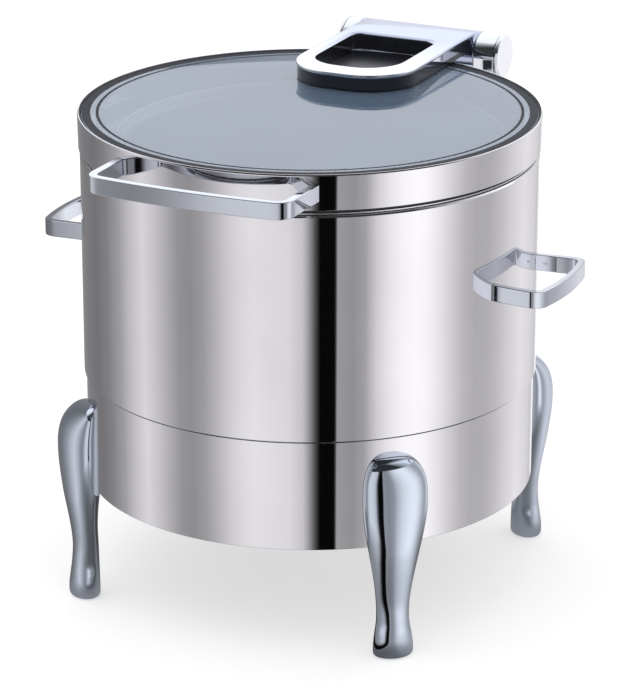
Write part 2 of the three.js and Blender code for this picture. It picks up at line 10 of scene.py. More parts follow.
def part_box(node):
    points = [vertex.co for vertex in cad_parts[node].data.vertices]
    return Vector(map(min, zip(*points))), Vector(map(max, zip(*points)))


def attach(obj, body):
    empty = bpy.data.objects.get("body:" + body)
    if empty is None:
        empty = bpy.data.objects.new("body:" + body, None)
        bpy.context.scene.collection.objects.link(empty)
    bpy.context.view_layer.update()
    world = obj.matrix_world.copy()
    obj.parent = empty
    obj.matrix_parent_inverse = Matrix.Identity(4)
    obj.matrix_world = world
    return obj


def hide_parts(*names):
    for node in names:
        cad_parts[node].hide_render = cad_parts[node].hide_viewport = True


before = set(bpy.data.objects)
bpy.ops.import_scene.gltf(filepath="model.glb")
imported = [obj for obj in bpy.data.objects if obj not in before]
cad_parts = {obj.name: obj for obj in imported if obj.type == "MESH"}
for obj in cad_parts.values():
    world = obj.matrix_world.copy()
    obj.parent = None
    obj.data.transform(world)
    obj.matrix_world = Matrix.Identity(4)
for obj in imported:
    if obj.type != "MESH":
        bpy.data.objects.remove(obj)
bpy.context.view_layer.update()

# ---- Camera ----
# A long lens a little above the lid and round to the right of the front. It is aimed at the pot's
# upright axis, about half way up the chafer.
shell_low, shell_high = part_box("outer_shell")
pot_axis = Vector(((shell_low.x + shell_high.x) / 2, (shell_low.y + shell_high.y) / 2, 0))
camera_azimuth, camera_elevation = radians(25.5), radians(19.54)
camera_distance, aim_height, lens_length = 2.9436, 0.199, 183.8
aim = pot_axis + Vector((0, 0, aim_height))
towards_camera = Vector((sin(camera_azimuth) * cos(camera_elevation),
                         -cos(camera_azimuth) * cos(camera_elevation), sin(camera_elevation)))
camera = bpy.data.objects.new("camera", bpy.data.cameras.new("camera"))
camera.data.lens = lens_length
camera.location = aim + towards_camera * camera_distance
camera.rotation_euler = (-towards_camera).to_track_quat("-Z", "Y").to_euler()
bpy.context.scene.collection.objects.link(camera)
bpy.context.scene.camera = camera

# ---- Studio ----
# A pale floor under an even white sky, with one soft light overhead. Lighting for polished metal is
# a ring of pale and dark cards round the object and a dome above, which only reflections see.
bpy.context.scene.view_settings.view_transform = "Standard"
sky = bpy.data.worlds.new("white_sky")
sky.use_nodes = True
sky.node_tree.nodes["Background"].inputs["Color"].default_value = (1, 1, 1, 1)
sky.node_tree.nodes["Background"].inputs["Strength"].default_value = 1.0
bpy.context.scene.world = sky


def mesh_from(name, verts_mm, faces):
    """A mesh object from millimetre points, standing on the pot's axis."""
    mesh = bpy.data.meshes.new(name)
    mesh.from_pydata([(x / 1000, y / 1000, z / 1000) for x, y, z in verts_mm], [], faces)
    obj = bpy.data.objects.new(name, mesh)
    bpy.context.scene.collection.objects.link(obj)
    obj.location = pot_axis
    return obj


floor_half = 7000
floor = mesh_from("floor", [(-floor_half, -floor_half, 0), (floor_half, -floor_half, 0),
                            (floor_half, floor_half, 0), (-floor_half, floor_half, 0)], [(0, 1, 2, 3)])


def new_finish(name):
    """A new material, with its node tree and its main shader."""
    finish = bpy.data.materials.new(name)
    finish.use_nodes = True
    return finish, finish.node_tree, finish.node_tree.nodes["Principled BSDF"]


def added(tree, kind, **settings):
    """A new shader node with the given settings of its sockets, From_Min for the socket From Min."""
    node = tree.nodes.new("ShaderNode" + kind)
    for socket, value in settings.items():
        node.inputs[socket.replace("_", " ")].default_value = value
    return node


def patterned(tree, pattern, low, high, first, last):
    """A colour that goes from first to last while a pattern's strength goes from low to high."""
    tone = added(tree, "ValToRGB")
    for stop, place, colour in zip(tone.color_ramp.elements, (low, high), (first, last)):
        stop.position = place
        stop.color = tuple(colour) + (1,)
    tree.links.new(pattern, tone.inputs["Fac"])
    return tone.outputs["Color"]


paper, tree, shader = new_finish("floor_paper")
fibre = added(tree, "TexNoise", Scale=40)
paper_tone = patterned(tree, fibre.outputs["Fac"], 0, 1, (0.50, 0.50, 0.505), (0.52, 0.52, 0.525))
tree.links.new(paper_tone, shader.inputs["Base Color"])
for socket, value in (("Roughness", 0.9), ("Specular IOR Level", 0.1),
                      ("Emission Color", (1, 1, 1, 1)), ("Emission Strength", 0.55)):
    shader.inputs[socket].default_value = value
floor.data.materials.append(paper)

overhead = bpy.data.objects.new("overhead_softbox", bpy.data.lights.new("overhead_softbox", "AREA"))
overhead.data.shape = "DISK"
overhead.data.size = 2.4
overhead.data.energy = 8
overhead.location = pot_axis + Vector((-0.5, -0.5, 2.2))
overhead.rotation_euler = (pot_axis - overhead.location).to_track_quat("-Z", "Y").to_euler()
overhead.visible_glossy = False
bpy.context.scene.collection.objects.link(overhead)

# Brightness of the cards by the direction that a wall of the pot reflects, in degrees to the right
# of the camera: a black card near the middle, pale cards on both sides of it, grey ones beyond.
card_brightness = [(-156, .19), (-135, .165), (-122, .215), (-110, .34), (-100, .54),
                   (-91, .68), (-83, .56), (-75, .41), (-68, .295), (-61, .27), (-54, .33), (-47, .46),
                   (-40, .61), (-34, .70), (-28, .75), (-22, .73), (-10, .69), (-3.5, .55), (2.2, .085),
                   (4.5, .002), (12.5, .002), (13.2, .32), (21, .28), (27, .35), (33, .62), (39.5, .81),
                   (46, .93), (53, .98), (59, .95), (66, .82), (74, .64), (82, .48), (90, .415),
                   (99, .425), (108, .505), (119, .64), (133, .75), (151, .62), (160, .5), (168, .84)]
card_radius, mirror_radius, steel_tone, card_tint = 330, 189, 0.80, (1.0, 0.985, 1.01)


def ring_azimuth(reflected):
    """Where the card ring is met by a direction that the pot's round wall reflects, in radians."""
    wall = reflected / 2
    px, py = mirror_radius * sin(wall), mirror_radius * cos(wall)
    dx, dy = sin(reflected), cos(reflected)
    along = px * dx + py * dy
    reach = -along + sqrt(along * along + card_radius ** 2 - mirror_radius ** 2)
    return atan2(px + reach * dx, py + reach * dy)


def blended(table, key):
    """Straight-line value between the rows of a table sorted by its first column."""
    if key <= table[0][0]:
        return table[0][1]
    for (a, va), (b, vb) in zip(table, table[1:]):
        if key <= b:
            return va + (vb - va) * (key - a) / (b - a)
    return table[-1][1]


def glow_card(name, section, columns, brightness, tint):
    """A glowing surface that only reflections see, turned about the upright axis from a section of
    (radius, height) points. brightness takes the turn from the camera and a point's number."""
    verts, glow, faces = [], [], []
    count = len(section)
    for i in range(columns):
        turn = -pi + 2 * pi * i / columns
        world_turn = turn + camera_azimuth
        for k, (radius, height) in enumerate(section):
            verts.append((radius * sin(world_turn), -radius * cos(world_turn), height))
            glow.append(brightness(turn, k))
        j = (i + 1) % columns
        faces += [(i * count + k, j * count + k, j * count + k + 1, i * count + k + 1)
                  for k in range(count - 1)]
    card = mesh_from(name, verts, faces)
    levels = card.data.color_attributes.new("glow", "FLOAT_COLOR", "POINT")
    for i, level in enumerate(glow):
        levels.data[i].color = (level * tint[0], level * tint[1], level * tint[2], 1)
    finish = bpy.data.materials.new(name)
    finish.use_nodes = True
    tree = finish.node_tree
    tree.nodes.clear()
    source = added(tree, "Attribute")
    source.attribute_name = "glow"
    lamp = added(tree, "Emission")
    surface = added(tree, "OutputMaterial")
    tree.links.new(source.outputs["Color"], lamp.inputs["Color"])
    tree.links.new(lamp.outputs["Emission"], surface.inputs["Surface"])
    card.data.materials.append(finish)
    card.visible_camera = card.visible_diffuse = card.visible_shadow = False
    card.visible_transmission = card.visible_volume_scatter = False


card_table = sorted((ring_azimuth(radians(a)), level) for a, level in card_brightness)
card_table = [(-pi, .6), (-2.7, .3)] + card_table + [(2.48, .95), (2.95, .95), (pi, .6)]
card_columns, card_foot, card_top = 720, 0.4, 450


def streak(turn, k):
    """Brightness of the upright cards, the same from their foot to their top."""
    return blended(card_table, turn) / steel_tone


glow_card("reflection_cards", [(card_radius, card_foot), (card_radius, card_top)], card_columns,
          streak, card_tint)

# A card just over the floor carries the same pale and dark streaks, dimmed, into the legs.
floor_radii, floor_dimming = (20, 120, 220, card_radius + 1), (0.30, 0.34, 0.42, 1.0)


def dimmed_streak(turn, k):
    """Brightness of the card over the floor, which fades from the upright cards inward."""
    return streak(turn, k) * floor_dimming[k]


glow_card("reflection_floor", [(radius, card_foot) for radius in floor_radii], card_columns,
          dimmed_streak, card_tint)

# Dome: bright at the back of the set and dark over the camera, as in a studio with one pale wall.
dome_radius, dome_rows, dome_columns = 1500, 24, 72
dome_rises = [radians(-2 + 92 * row / dome_rows) for row in range(dome_rows + 1)]


def dome_glow(turn, row):
    """Brightness of the dome, which falls a little towards its crown."""
    backness = 0.5 - 0.5 * cos(turn)
    low_glow = 0.06 + 1.7 * max(0.0, min(1.0, (backness - 0.25) / 0.45))
    return low_glow * (1 - 0.35 * sin(dome_rises[row]))


glow_card("reflection_dome", [(dome_radius * cos(rise), dome_radius * sin(rise)) for rise in dome_rises],
          dome_columns, dome_glow, (0.97, 0.985, 1.03))

# ---- Stand skirt ----
# A band of polished stainless sheet, 1.5 mm thick, rolled round and hemmed inward at its foot.
# The body's upper casing is rolled from the same sheet, so they share this finish.


def bent(a, control, b, steps):
    """Points on a curve from a to b that leans to its control point, without its first point."""
    points = []
    for i in range(1, steps + 1):
        t = i / steps
        points.append(tuple((1 - t) ** 2 * p + 2 * t * (1 - t) * c + t * t * q
                            for p, c, q in zip(a, control, b)))
    return points


def eased(corners, radius=0.5, steps=4):
    """A closed outline with each of its corners rounded."""
    rounded = []
    count = len(corners)
    for i, (x, y) in enumerate(corners):
        (ax, ay), (bx, by) = corners[i - 1], corners[(i + 1) % count]
        la, lb = hypot(ax - x, ay - y), hypot(bx - x, by - y)
        turn = ((x - ax) * (by - y) - (y - ay) * (bx - x)) / max(la * lb, 1e-9)
        if abs(turn) < 0.12:
            rounded.append((x, y))
            continue
        d = min(radius, 0.45 * la, 0.45 * lb)
        p = (x + (ax - x) * d / la, y + (ay - y) * d / la)
        q = (x + (bx - x) * d / lb, y + (by - y) * d / lb)
        rounded += [p] + bent(p, (x, y), q, steps)
    return rounded


def cleaned(obj):
    """Welds doubled points, turns faces outward, shades smooth and keeps flat faces flat."""
    bm = bmesh.new()
    bm.from_mesh(obj.data)
    bmesh.ops.remove_doubles(bm, verts=bm.verts, dist=2e-6)
    bmesh.ops.dissolve_degenerate(bm, edges=bm.edges, dist=1e-7)
    bmesh.ops.recalc_face_normals(bm, faces=bm.faces)
    for face in bm.faces:
        face.smooth = True
    for edge in bm.edges:
        edge.smooth = len(edge.link_faces) == 2 and edge.calc_face_angle(0) < radians(38)
    bm.to_mesh(obj.data)
    bm.free()
    evened = obj.modifiers.new("even_shading", "WEIGHTED_NORMAL")
    evened.keep_sharp = True
    return obj


def spun(name, profile, segments=256, hexed=()):
    """A closed outline of (radius, height) turned about the upright axis.
    The points whose numbers are in hexed run round a hexagon instead of a circle."""
    verts, faces = [], []
    count = len(profile)
    for i in range(segments):
        turn = 2 * pi * i / segments
        flat = cos(pi / 6) / cos((turn + pi / 6) % (pi / 3) - pi / 6)
        for k, (r, z) in enumerate(profile):
            reach = r * flat if k in hexed else r
            verts.append((reach * cos(turn), reach * sin(turn), z))
        j = (i + 1) % segments
        for k in range(count):
            n = (k + 1) % count
            if profile[k][0] < 1e-6 and profile[n][0] < 1e-6:
                continue
            faces.append((i * count + k, j * count + k, j * count + n, i * count + n))
    return mesh_from(name, verts, faces)


def fitted(obj, body, slot, finish, *stands_for):
    """Gives a finished piece its material and its place in the assembly."""
    cleaned(obj)
    obj.data.materials.append(finish)
    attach(obj, body)
    if stands_for:
        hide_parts(*stands_for)
    return obj


def scaled(colour, factor):
    """A colour made paler or darker."""
    return tuple(min(1, part * factor) for part in colour)


def metal(name, colour, roughness, marks, marks_scale, depth, wear=0.03):
    """Bare metal with fine marks: marks stretches them along x, y and z."""
    finish, tree, shader = new_finish(name)
    shader.inputs["Metallic"].default_value = 1.0
    place = added(tree, "TexCoord")
    stretch = added(tree, "Mapping", Scale=marks)
    grain = added(tree, "TexNoise", Scale=marks_scale, Detail=5)
    cloud = added(tree, "TexNoise", Scale=9, Detail=3)
    tree.links.new(place.outputs["Object"], stretch.inputs["Vector"])
    tree.links.new(stretch.outputs["Vector"], grain.inputs["Vector"])
    tree.links.new(place.outputs["Object"], cloud.inputs["Vector"])
    sheen = added(tree, "MapRange", From_Min=0.3, From_Max=0.7,
                  To_Min=roughness * 0.8, To_Max=roughness * 1.25)
    tree.links.new(grain.outputs["Fac"], sheen.inputs["Value"])
    tree.links.new(sheen.outputs["Result"], shader.inputs["Roughness"])
    tone = patterned(tree, cloud.outputs["Fac"], 0.35, 0.65, scaled(colour, 1 - wear),
                     scaled(colour, 1 + wear))
    tree.links.new(tone, shader.inputs["Base Color"])
    ripple = added(tree, "Bump", Strength=depth, Distance=0.0004)
    tree.links.new(grain.outputs["Fac"], ripple.inputs["Height"])
    tree.links.new(ripple.outputs["Normal"], shader.inputs["Normal"])
    return finish


polished_sheet = metal("polished_sheet", (0.80, 0.79, 0.81), 0.035, (1, 1, 0.012), 420, 0.012)
sheet = 1.5
skirt_radius, hem_radius, skirt_foot, skirt_top = 187.3, 182.8, 90, 181.5
skirt_inner = skirt_radius - sheet
skirt_outline = eased([(hem_radius, skirt_foot), (skirt_radius, skirt_foot), (skirt_radius, skirt_top),
                       (skirt_inner, skirt_top), (skirt_inner, skirt_foot + sheet),
                       (hem_radius, skirt_foot + sheet)], 0.6)
fitted(spun("skirt_band", skirt_outline), "stand", "polished_steel", polished_sheet, "stand_skirt")

# ---- Ledge and heat-proof ring ----
# A flat steel ring welded inside the top of the skirt, and the black silicone ring laid on it that
# the body rests on. Both hardly show from outside.
satin_sheet = metal("satin_sheet", (0.70, 0.71, 0.72), 0.28, (1, 1, 40), 60, 0.06)


def rubber(name, colour, roughness, grain_scale):
    """Moulded rubber or plastic: a fine even grain and slight changes of tone."""
    finish, tree, shader = new_finish(name)
    place = added(tree, "TexCoord")
    grain = added(tree, "TexNoise", Scale=grain_scale, Detail=6)
    tree.links.new(place.outputs["Object"], grain.inputs["Vector"])
    tone = patterned(tree, grain.outputs["Fac"], 0.3, 0.7, scaled(colour, 0.8), scaled(colour, 1.25))
    tree.links.new(tone, shader.inputs["Base Color"])
    gloss = added(tree, "MapRange", To_Min=roughness * 0.85, To_Max=roughness * 1.15)
    tree.links.new(grain.outputs["Fac"], gloss.inputs["Value"])
    tree.links.new(gloss.outputs["Result"], shader.inputs["Roughness"])
    pores = added(tree, "Bump", Strength=0.15, Distance=0.0002)
    tree.links.new(grain.outputs["Fac"], pores.inputs["Height"])
    tree.links.new(pores.outputs["Normal"], shader.inputs["Normal"])
    return finish


black_silicone = rubber("black_silicone_rubber", (0.018, 0.018, 0.022), 0.55, 900)


def flat_ring(inner, outer, bottom, top, edge=0.35):
    """The outline of a flat ring."""
    return eased([(inner, bottom), (outer, bottom), (outer, top), (inner, top)], edge)


# Neighbouring parts are kept this far apart.
gap = 0.3
ledge_inner, ledge_outer = 171.5, 185.5
fitted(spun("skirt_ledge", flat_ring(ledge_inner, ledge_outer, skirt_top - sheet, skirt_top)),
       "stand", "satin_steel", satin_sheet, "stand_ledge")
gasket_inner, gasket_outer, gasket_top = 172.5, 183.5, 182.7
fitted(spun("body_rest_ring", flat_ring(gasket_inner, gasket_outer, skirt_top + gap, gasket_top, 0.2)),
       "stand", "black_silicone", black_silicone, "seat_gasket")

# ---- Legs ----
# Four castings in polished chrome plate: a shoulder swelling over the skirt, a slim ankle and a
# flared foot. Two screws from inside the skirt hold each, and a rubber pad stands under each foot.
# Painted reflection tone: the legs' chrome is darker and bluer than the bracket's, standing in for the
# blue-grey reflections on them.
leg_chrome_painted_reflection = metal("leg_chrome_painted_reflection", (0.60, 0.66, 0.75), 0.06, (1, 1, 1), 55, 0.008)
# Height, width across, and nearest and farthest distance from the axis, from the foot up.
leg_stations = [(1, 30.4, 188.8, 211.4), (1.7, 32, 188.1, 212.4), (4, 33.5, 187.7, 213.1),
                (11, 33.2, 187.7, 213), (20, 30.6, 187.8, 211.8), (31, 27.5, 188, 210.4),
                (46, 28, 188.4, 209.4), (62, 32, 189, 210.8), (78, 37.5, 188.4, 213.4),
                (93, 43.5, 187, 216), (110, 49.8, 187, 218), (126, 53.8, 187, 219.2),
                (142, 54.2, 187, 218.8), (154.5, 50.8, 187, 215.4), (163.5, 42, 187, 208.6),
                (168.6, 30, 187, 201), (170.6, 14, 187, 193)]


def smooth_through(stations, count):
    """Rows of numbers on a smooth curve through the given rows (a Catmull-Rom spline)."""
    rows = []
    last = len(stations) - 1
    for i in range(count + 1):
        s = i / count * last
        k = min(int(s), last - 1)
        t = s - k
        four = [stations[max(0, min(last, k + d))] for d in (-1, 0, 1, 2)]
        rows.append([0.5 * (2 * b + (c - a) * t + (2 * a - 5 * b + 4 * c - d) * t * t
                            + (3 * b - a - 3 * c + d) * t ** 3) for a, b, c, d in zip(*four)])
    return rows


def bands(rows, count):
    """Faces between rings of count points, where rows gives the number of each ring's first point."""
    return [(a + i, a + (i + 1) % count, b + (i + 1) % count, b + i)
            for a, b in zip(rows, rows[1:]) for i in range(count)]


def swept(name, rings):
    """A closed bar through rings of points, with a flat face at each end."""
    count = len(rings[0])
    verts = [point for ring in rings for point in ring]
    faces = bands(range(0, len(verts), count), count)
    faces.append(tuple(reversed(range(count))))
    faces.append(tuple(range(len(verts) - count, len(verts))))
    return mesh_from(name, verts, faces)


def lofted_leg(name, angle):
    """One leg, lofted through its stations, hollowed behind to sit on the skirt."""
    around, levels = 56, 90
    hollow_radius, hollow_foot = skirt_radius + gap, skirt_foot - 3
    rings = []
    for z, width, near, far in smooth_through(leg_stations, levels):
        ring = []
        for i in range(around):
            turn = 2 * pi * i / around
            across = width / 2 * sin(turn)
            out = (near + far) / 2 + (far - near) / 2 * cos(turn)
            if z > hollow_foot:
                out = max(out, sqrt(hollow_radius ** 2 - across ** 2))
            ring.append((out * cos(angle) - across * sin(angle), out * sin(angle) + across * cos(angle), z))
        rings.append(ring)
    return swept(name, rings)


def measured(node, direction):
    """The least and greatest distance of a CAD node along a direction, in millimetres."""
    reach = [v.co.dot(direction) * 1000 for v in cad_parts[node].data.vertices]
    return min(reach), max(reach)


screw_steel = metal("screw_steel_finish", (0.60, 0.61, 0.63), 0.3, (1, 1, 1), 700, 0.05)


def hex_screw(name, node, direction, body, size):
    """A domed-head screw with a hexagon socket, standing where its CAD node is. Its size is the
    head's radius, the head's height and the shank's radius."""
    head_radius, head_height, shank_radius = size
    side = Vector((0, 0, 1)).cross(direction)
    side = side.normalized() if side.length > 0.1 else Vector((1, 0, 0))
    up = direction.cross(side)
    start, end = measured(node, direction)
    middle_side, middle_up = sum(measured(node, side)) / 2, sum(measured(node, up)) / 2
    length = end - start
    socket = head_radius * 0.45
    outline = [(0, head_height * 0.75), (socket, head_height * 0.75), (socket, 0.15), (socket * 1.15, 0),
               (head_radius * 0.62, 0), (head_radius * 0.9, head_height * 0.35),
               (head_radius, head_height * 0.8), (head_radius, head_height),
               (shank_radius, head_height), (shank_radius, length - 0.6),
               (shank_radius - 0.6, length), (0, length)]
    bolt = spun(name, outline, 48, hexed=(1, 2))
    turn = Matrix((side, up, direction)).transposed().to_4x4()
    if turn.determinant() < 0:
        turn = Matrix((-side, up, direction)).transposed().to_4x4()
    bolt.data.transform(turn)
    bolt.location = (direction * start + side * middle_side + up * middle_up) / 1000
    return fitted(bolt, body, "screw_steel", screw_steel, node)


leg_corners = {"rear_right": 45, "rear_left": 135, "front_left": 225, "front_right": 315}
leg_bolt = (6, 4, 3)
foot_pad_radius, foot_pad_top, foot_distance = 10, 0.98, 200.2
pad_outline = eased([(0, 0), (foot_pad_radius - 0.6, 0), (foot_pad_radius, 0.8),
                     (foot_pad_radius, foot_pad_top), (0, foot_pad_top)], 0.2)
for corner, degrees in leg_corners.items():
    angle = radians(degrees)
    outward = Vector((cos(angle), sin(angle), 0))
    leg = fitted(lofted_leg("cast_leg_" + corner, angle), "stand", "chrome_casting", leg_chrome_painted_reflection,
                 "leg_" + corner)
    # The mirror-bright skirt would break them into strips, so reflections leave them out.
    leg.visible_glossy = False
    pad = spun("rubber_foot_" + corner, pad_outline, 64)
    pad.location = pot_axis + outward * (foot_distance / 1000)
    fitted(pad, "stand", "black_silicone", black_silicone, "foot_pad_" + corner)
    for i in (1, 2):
        bolt = hex_screw("leg_bolt_%s_%d" % (corner, i), "leg_screw_%s_%d" % (corner, i), outward,
                         "stand", leg_bolt)
        bolt.visible_glossy = False

# ---- Crossbar ----
# A flat satin strip across the skirt with a ring in its middle for the burner cup. Its ends are
# bent up and each is held to the skirt by one screw.
bar_low, bar_high = 104, 106.5
bar_half_width, bar_end, seat_outer, seat_inner = 15, 184.4, 58, 44.5


def moved_in(loop, inset):
    """A closed anticlockwise loop moved inward by a small distance."""
    moved = []
    count = len(loop)
    for i, (x, y) in enumerate(loop):
        (ax, ay), (bx, by) = loop[i - 1], loop[(i + 1) % count]
        la, lb = max(hypot(x - ax, y - ay), 1e-9), max(hypot(bx - x, by - y), 1e-9)
        n1, n2 = (-(y - ay) / la, (x - ax) / la), (-(by - y) / lb, (bx - x) / lb)
        nx, ny = n1[0] + n2[0], n1[1] + n2[1]
        scale = 2 / max(nx * nx + ny * ny, 1.0)
        moved.append((x + nx * scale * inset, y + ny * scale * inset))
    return moved


def capped(obj, *faces_rims):
    """Adds flat faces, each given by its rims: an outline and the edges of any holes in it. A rim is
    its first point's number and its count of points."""
    bm = bmesh.new()
    bm.from_mesh(obj.data)
    bm.verts.ensure_lookup_table()
    for rims in faces_rims:
        edges = [bm.edges.get((bm.verts[start + i], bm.verts[start + (i + 1) % count]))
                 for start, count in rims for i in range(count)]
        bmesh.ops.triangle_fill(bm, edges=edges, use_beauty=True)
    bm.to_mesh(obj.data)
    bm.free()
    return obj


def pressed(name, loops, bottom, top, edge=0.5):
    """A flat pressing with softened edges: the first loop is its outline, and the others are holes."""
    verts, faces, lower_rims, upper_rims = [], [], [], []
    slope = edge * 0.29
    for number, loop in enumerate(loops):
        rows = []
        for inset, z in ((edge, bottom), (slope, bottom + slope), (0, bottom + edge),
                         (0, top - edge), (slope, top - slope), (edge, top)):
            rows.append(len(verts))
            verts += [(x, y, z) for x, y in moved_in(loop, inset if number == 0 else -inset)]
        faces += bands(rows, len(loop))
        lower_rims.append((rows[0], len(loop)))
        upper_rims.append((rows[-1], len(loop)))
    return capped(mesh_from(name, verts, faces), lower_rims, upper_rims)


def joined(first, *others):
    """Adds the meshes of other objects to the first one."""
    bm = bmesh.new()
    bm.from_mesh(first.data)
    for other in others:
        bm.from_mesh(other.data)
        bpy.data.objects.remove(other)
    bm.to_mesh(first.data)
    bm.free()
    return first


def circle(radius, steps, x=0, y=0):
    """Points round a circle, anticlockwise."""
    turns = [2 * pi * i / steps for i in range(steps)]
    return [(x + radius * cos(turn), y + radius * sin(turn)) for turn in turns]


waist = sqrt(seat_outer ** 2 - bar_half_width ** 2)
waist_angle = atan2(bar_half_width, waist)
arc_steps = 40
bar_loop = []
for side in (0, pi):
    bar_loop += [(bar_end * cos(side), -bar_half_width * cos(side)),
                 (bar_end * cos(side), bar_half_width * cos(side))]
    for i in range(arc_steps + 1):
        turn = side + waist_angle + (pi - 2 * waist_angle) * i / arc_steps
        bar_loop.append((seat_outer * cos(turn), seat_outer * sin(turn)))
crossbar = pressed("burner_bar", [bar_loop, circle(seat_inner, 96)], bar_low, bar_high, 0.4)
tab_shoulder, tab_end, tab_corner, tab_thickness = bar_low + 10, bar_low + 16, 6, 2
screw_height, screw_hole = 112, 2.3
crossbar_bolt = (4, 2.5, 2)
for word, side in (("left", -1), ("right", 1)):
    tab_loop = [(bar_low, -bar_half_width), (tab_shoulder, -bar_half_width),
                (tab_end, -bar_half_width + tab_corner), (tab_end, bar_half_width - tab_corner),
                (tab_shoulder, bar_half_width), (bar_low, bar_half_width)]
    tab = pressed("tab", [tab_loop, circle(screw_hole, 24, screw_height)], 0, tab_thickness, 0.4)
    upright = Matrix(((0, 0, side, side * (bar_end - tab_thickness) / 1000), (0, side, 0, 0),
                      (1, 0, 0, 0), (0, 0, 0, 1)))
    tab.data.transform(upright)
    joined(crossbar, tab)
    hex_screw("crossbar_bolt_" + word, "crossbar_screw_" + word, Vector((side, 0, 0)), "stand",
              crossbar_bolt)
fitted(crossbar, "stand", "satin_steel", satin_sheet, "burner_crossbar")

# ---- Burner cup and snuffer ----
# A drawn steel cup for the fuel can hangs in the crossbar's ring. Its dished cover has a heat-proof
# knob and swings aside on a rivet through the two tongues.
drawn = 1.2
cup_floor, cup_radius, cup_rim, flange_radius = 62, 43, 106.8, 52
pivot_y = 65


def tongue_loop(half_width, inner_radius):
    """A tongue with a round end at the pivot, reaching in to the edge of a round piece."""
    root = sqrt(inner_radius ** 2 - half_width ** 2)
    return [(-half_width, root), (half_width, root)] + [
        (half_width * cos(pi * i / 24), pivot_y + half_width * sin(pi * i / 24)) for i in range(25)]


cup_inner, flange_top = cup_radius - drawn, cup_rim + sheet
cup = spun("fuel_cup", eased([(0, cup_floor), (cup_radius, cup_floor), (cup_radius, cup_rim),
                              (flange_radius, cup_rim), (flange_radius, flange_top),
                              (cup_inner, flange_top), (cup_inner, cup_floor + drawn),
                              (0, cup_floor + drawn)], 1.0), 160)
cup_tongue = pressed("tongue", [tongue_loop(8, flange_radius - 1.5), circle(3.3, 24, 0, pivot_y)],
                     cup_rim, flange_top, 0.3)
fitted(joined(cup, cup_tongue), "stand", "satin_steel", satin_sheet, "burner_cup")
cover_foot, cover_top, cover_radius = 108.6, 117.1, 48
cover_tongue_top = cover_foot + sheet
rivet_shank, rivet_head = 3, 5
rivet = spun("snuffer_rivet", eased([(0, cup_rim - 2.6), (rivet_head - 0.8, cup_rim - 2.6),
                                     (rivet_head, cup_rim - 1.6), (rivet_head, cup_rim - gap),
                                     (rivet_shank, cup_rim - gap), (rivet_shank, cover_tongue_top + gap),
                                     (rivet_head, cover_tongue_top + gap),
                                     (rivet_head, cover_tongue_top + 1.4),
                                     (rivet_head - 1.4, cover_tongue_top + 2.4),
                                     (0, cover_tongue_top + 2.4)], 0.3), 48)
rivet.location = pot_axis + Vector((0, pivot_y / 1000, 0))
fitted(rivet, "stand", "screw_steel", screw_steel, "snuffer_pin")
cover_inner, knob_hole = cover_radius - drawn, 2.3
cover = spun("snuffer_cover", eased([(cover_inner, cover_foot), (cover_radius, cover_foot),
                                     (cover_radius, cover_top - 4), (cover_radius - 8, cover_top),
                                     (knob_hole, cover_top), (knob_hole, cover_top - drawn),
                                     (cover_radius - 8.4, cover_top - drawn),
                                     (cover_inner, cover_top - 4.6)], 0.9), 160)
cover_tongue = pressed("tongue", [tongue_loop(9, cover_radius - 0.6), circle(3.1, 24, 0, pivot_y)],
                       cover_foot, cover_tongue_top, 0.3)
fitted(joined(cover, cover_tongue), "snuffer", "satin_steel", satin_sheet, "snuffer_lid")
black_phenolic = rubber("black_phenolic", (0.03, 0.028, 0.026), 0.3, 350)
fitted(spun("snuffer_grip", eased([(0, cover_top - 3), (2, cover_top - 3), (2, cover_top + gap),
                                   (8, cover_top + gap), (7, cover_top + 5), (10.4, cover_top + 9),
                                   (11, cover_top + 11.5), (9, cover_top + 15), (0, cover_top + 16)],
                                  1.6, 6), 96),
       "snuffer", "phenolic", black_phenolic, "snuffer_knob")

# ---- Outer shell ----
# The tall polished casing that the guests see, turned in at the top to carry the water pan, with a
# flat base ring welded in its foot.
shell_foot, shell_radius, shell_shoulder, shell_top, collar_inner = 183, 189.2, 368.6, 370.3, 181.7
shell_inner = shell_radius - sheet
shell_outline = eased([(shell_inner, shell_foot), (shell_radius, shell_foot),
                       (shell_radius, shell_shoulder), (shell_radius - 1.4, shell_top),
                       (collar_inner, shell_top), (collar_inner, shell_top - sheet),
                       (shell_inner, shell_top - sheet)], 0.5)
fitted(spun("shell_casing", shell_outline, 288), "chafer_body", "polished_steel", polished_sheet,
       "outer_shell")
base_inner = 169.5
fitted(spun("shell_base", flat_ring(base_inner, shell_inner - gap, shell_foot, shell_foot + sheet)),
       "chafer_body", "satin_steel", satin_sheet, "base_ring")

# ---- Water pan ----
# A deep-drawn satin pan that holds the hot water. It hangs in the shell by its flat rim, which the
# lid's seal closes on.
pan_floor, pan_radius, pan_rim, pan_rim_radius = 174, 168, 370.6, 187
fitted(spun("deep_water_pan", eased([(0, pan_floor), (pan_radius - 8, pan_floor),
                                     (pan_radius, pan_floor + 8), (pan_radius, pan_rim),
                                     (pan_rim_radius, pan_rim), (pan_rim_radius, pan_rim + sheet),
                                     (pan_radius - drawn, pan_rim + sheet),
                                     (pan_radius - drawn, pan_floor + 8.5),
                                     (pan_radius - 8.5, pan_floor + drawn),
                                     (0, pan_floor + drawn)], 0.7)),
       "chafer_body", "satin_steel", satin_sheet, "water_pan")

